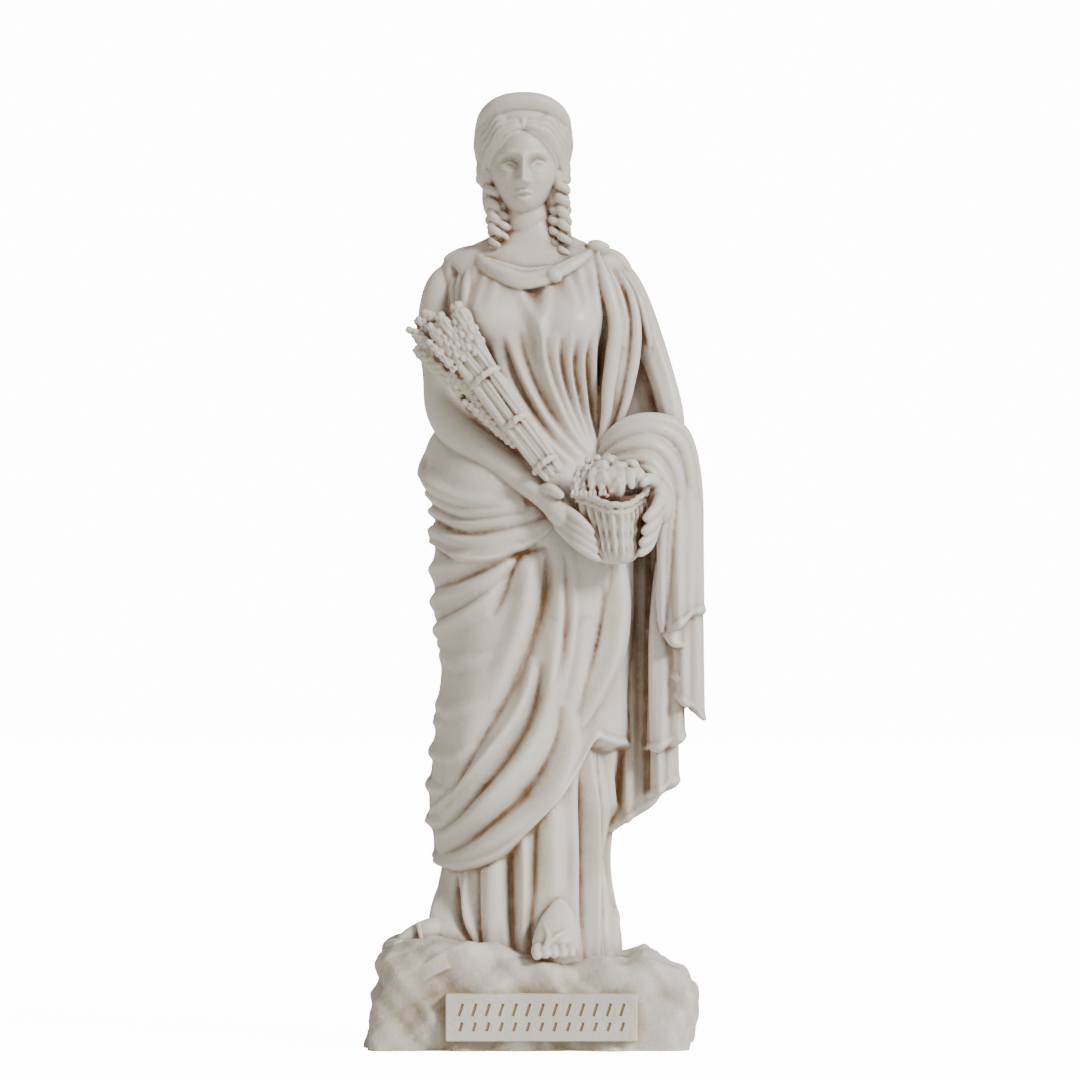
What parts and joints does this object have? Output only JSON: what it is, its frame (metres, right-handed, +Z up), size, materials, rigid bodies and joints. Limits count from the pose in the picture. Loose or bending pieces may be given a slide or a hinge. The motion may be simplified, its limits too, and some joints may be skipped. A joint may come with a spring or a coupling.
{
  "type": "alabaster goddess statue",
  "caption": "Standing draped goddess in alabaster, with a wheat sheaf on one arm and a basket of fruit in her hands, cast in one with a rough rock plinth and a plain plaque.",
  "frame": {"origin": "middle of the bounding box, on the flat underside of the plinth", "axes": "+Z up the figure, -Y towards the front, +X to the viewer's right"},
  "size_m": [0.0898, 0.0666, 0.2499],
  "materials": {
    "alabaster": "satin ivory alabaster with a brown wash in the creases"
  },
  "bodies": {
    "root": {"goddess_statue": "alabaster"}
  },
  "joints": []
}
